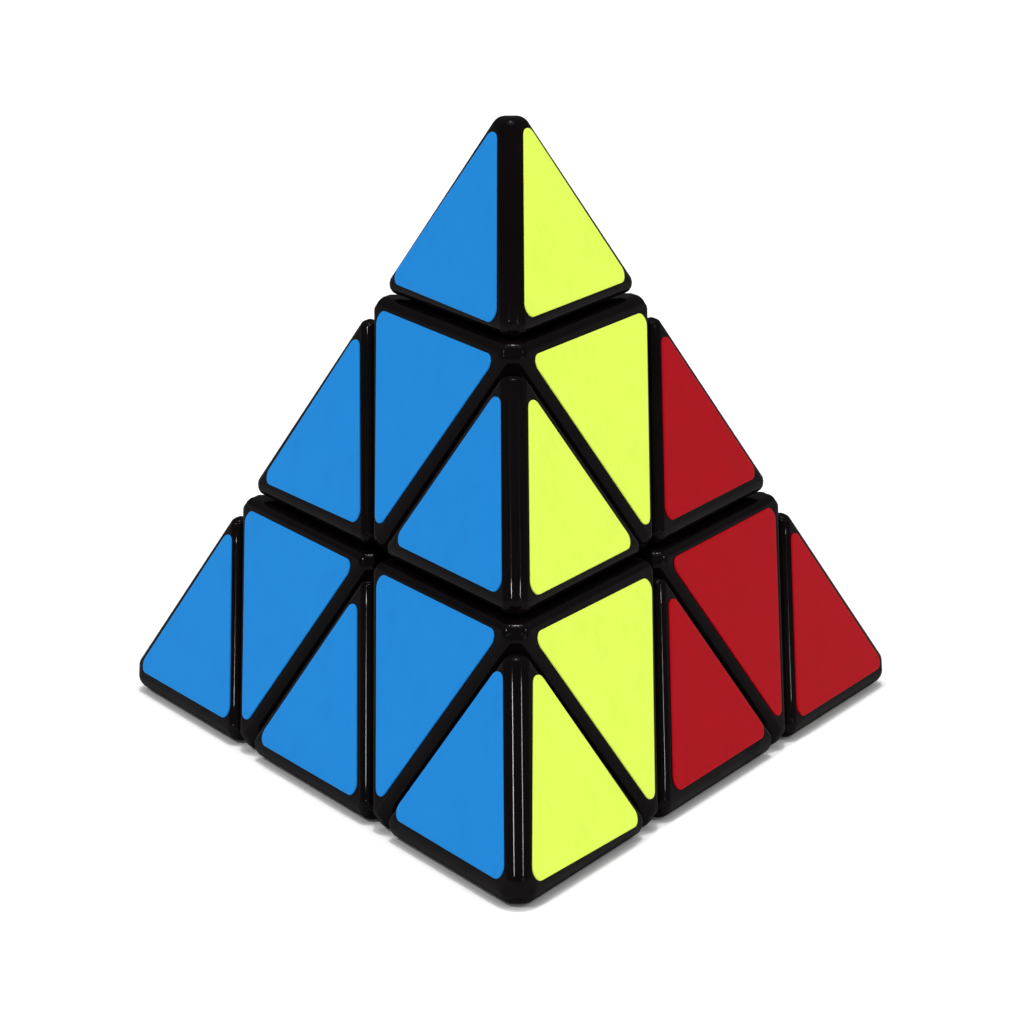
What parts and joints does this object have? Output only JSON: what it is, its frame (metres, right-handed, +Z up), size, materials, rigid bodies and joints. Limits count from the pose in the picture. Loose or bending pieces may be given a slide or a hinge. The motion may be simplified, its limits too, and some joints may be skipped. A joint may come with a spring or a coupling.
{
  "type": "pyramid twisty puzzle",
  "caption": "Tetrahedral twisty puzzle with turning corner layers, turning tips and coloured triangular stickers on black plastic pieces.",
  "frame": {"origin": "centre of the core, where the four turning axes meet", "axes": "+Z up through the top corner, -Y toward the front corner, +X toward the right corner's side"},
  "size_m": [0.098, 0.0862, 0.0808],
  "materials": {
    "body_plastic": "glossy black moulded plastic",
    "core_plastic": "dark moulded plastic, hidden",
    "screw_steel": "zinc plated steel, hidden",
    "spring_steel": "bright spring wire, hidden",
    "film_blue": "satin blue vinyl film",
    "film_lime": "satin yellow-green vinyl film",
    "film_red": "satin deep red vinyl film",
    "film_green": "satin green vinyl film"
  },
  "bodies": {
    "core": {"core": "core_plastic", "core_screw_top": "screw_steel", "core_screw_front": "screw_steel", "core_screw_right": "screw_steel", "core_screw_left": "screw_steel", "spring_top": "spring_steel", "spring_front": "spring_steel", "spring_right": "spring_steel", "spring_left": "spring_steel"},
    "axial_top": {"axial_top": "body_plastic", "sticker_axial_top_on_back": "film_red", "sticker_axial_top_on_left": "film_blue", "sticker_axial_top_on_right": "film_lime"},
    "tip_top": {"tip_top": "body_plastic", "sticker_tip_top_on_back": "film_red", "sticker_tip_top_on_left": "film_blue", "sticker_tip_top_on_right": "film_lime"},
    "axial_front": {"axial_front": "body_plastic", "sticker_axial_front_on_bottom": "film_green", "sticker_axial_front_on_left": "film_blue", "sticker_axial_front_on_right": "film_lime"},
    "tip_front": {"tip_front": "body_plastic", "sticker_tip_front_on_bottom": "film_green", "sticker_tip_front_on_left": "film_blue", "sticker_tip_front_on_right": "film_lime"},
    "axial_right": {"axial_right": "body_plastic", "sticker_axial_right_on_bottom": "film_lime", "sticker_axial_right_on_back": "film_green", "sticker_axial_right_on_right": "film_red"},
    "tip_right": {"tip_right": "body_plastic", "sticker_tip_right_on_bottom": "film_lime", "sticker_tip_right_on_back": "film_green", "sticker_tip_right_on_right": "film_red"},
    "axial_left": {"axial_left": "body_plastic", "sticker_axial_left_on_bottom": "film_green", "sticker_axial_left_on_back": "film_red", "sticker_axial_left_on_left": "film_blue"},
    "tip_left": {"tip_left": "body_plastic", "sticker_tip_left_on_bottom": "film_green", "sticker_tip_left_on_back": "film_red", "sticker_tip_left_on_left": "film_blue"},
    "edge_top_front": {"edge_top_front": "body_plastic", "sticker_edge_top_front_on_left": "film_blue", "sticker_edge_top_front_on_right": "film_lime"},
    "edge_top_right": {"edge_top_right": "body_plastic", "sticker_edge_top_right_on_back": "film_green", "sticker_edge_top_right_on_right": "film_red"},
    "edge_top_left": {"edge_top_left": "body_plastic", "sticker_edge_top_left_on_back": "film_red", "sticker_edge_top_left_on_left": "film_blue"},
    "edge_front_right": {"edge_front_right": "body_plastic", "sticker_edge_front_right_on_bottom": "film_lime", "sticker_edge_front_right_on_right": "film_red"},
    "edge_front_left": {"edge_front_left": "body_plastic", "sticker_edge_front_left_on_bottom": "film_green", "sticker_edge_front_left_on_left": "film_blue"},
    "edge_right_left": {"edge_right_left": "body_plastic", "sticker_edge_right_left_on_bottom": "film_lime", "sticker_edge_right_left_on_back": "film_green"}
  },
  "joints": [
    {"name": "layer_top_turn", "type": "hinge", "parent": "core", "child": "axial_top", "pos_m": [0, 0, 0], "axis": [0, 0, 1], "range_deg": [-240, 120]},
    {"name": "tip_top_turn", "type": "hinge", "parent": "axial_top", "child": "tip_top", "pos_m": [0, 0, 0], "axis": [0, 0, 1], "continuous": true},
    {"name": "layer_front_turn", "type": "hinge", "parent": "core", "child": "axial_front", "pos_m": [0, 0, 0], "axis": [0, -0.9428, -0.3333], "range_deg": [-240, 120]},
    {"name": "tip_front_turn", "type": "hinge", "parent": "axial_front", "child": "tip_front", "pos_m": [0, 0, 0], "axis": [0, -0.9428, -0.3333], "continuous": true},
    {"name": "layer_right_turn", "type": "hinge", "parent": "core", "child": "axial_right", "pos_m": [0, 0, 0], "axis": [0.8165, 0.4714, -0.3333], "range_deg": [-240, 120]},
    {"name": "tip_right_turn", "type": "hinge", "parent": "axial_right", "child": "tip_right", "pos_m": [0, 0, 0], "axis": [0.8165, 0.4714, -0.3333], "continuous": true},
    {"name": "layer_left_turn", "type": "hinge", "parent": "core", "child": "axial_left", "pos_m": [0, 0, 0], "axis": [-0.8165, 0.4714, -0.3333], "range_deg": [-240, 120]},
    {"name": "tip_left_turn", "type": "hinge", "parent": "axial_left", "child": "tip_left", "pos_m": [0, 0, 0], "axis": [-0.8165, 0.4714, -0.3333], "continuous": true},
    {"name": "edge_top_front_turn", "type": "hinge", "parent": "axial_top", "child": "edge_top_front", "pos_m": [0, 0, 0], "axis": [0, -0.9428, -0.3333], "range_deg": [-240, 120]},
    {"name": "edge_top_right_turn", "type": "hinge", "parent": "axial_top", "child": "edge_top_right", "pos_m": [0, 0, 0], "axis": [0.8165, 0.4714, -0.3333], "range_deg": [-240, 120]},
    {"name": "edge_top_left_turn", "type": "hinge", "parent": "axial_top", "child": "edge_top_left", "pos_m": [0, 0, 0], "axis": [-0.8165, 0.4714, -0.3333], "range_deg": [-240, 120]},
    {"name": "edge_front_right_turn", "type": "hinge", "parent": "axial_front", "child": "edge_front_right", "pos_m": [0, 0, 0], "axis": [0.8165, 0.4714, -0.3333], "range_deg": [-240, 120]},
    {"name": "edge_front_left_turn", "type": "hinge", "parent": "axial_left", "child": "edge_front_left", "pos_m": [0, 0, 0], "axis": [0, -0.9428, -0.3333], "range_deg": [-240, 120]},
    {"name": "edge_right_left_turn", "type": "hinge", "parent": "axial_right", "child": "edge_right_left", "pos_m": [0, 0, 0], "axis": [-0.8165, 0.4714, -0.3333], "range_deg": [-240, 120]}
  ],
  "couplings": [
    {"joint": "edge_top_front_turn", "follows": "layer_front_turn", "ratio": 1},
    {"joint": "edge_top_right_turn", "follows": "layer_right_turn", "ratio": 1},
    {"joint": "edge_top_left_turn", "follows": "layer_left_turn", "ratio": 1},
    {"joint": "edge_front_right_turn", "follows": "layer_right_turn", "ratio": 1},
    {"joint": "edge_front_left_turn", "follows": "layer_front_turn", "ratio": 1},
    {"joint": "edge_right_left_turn", "follows": "layer_left_turn", "ratio": 1}
  ]
}
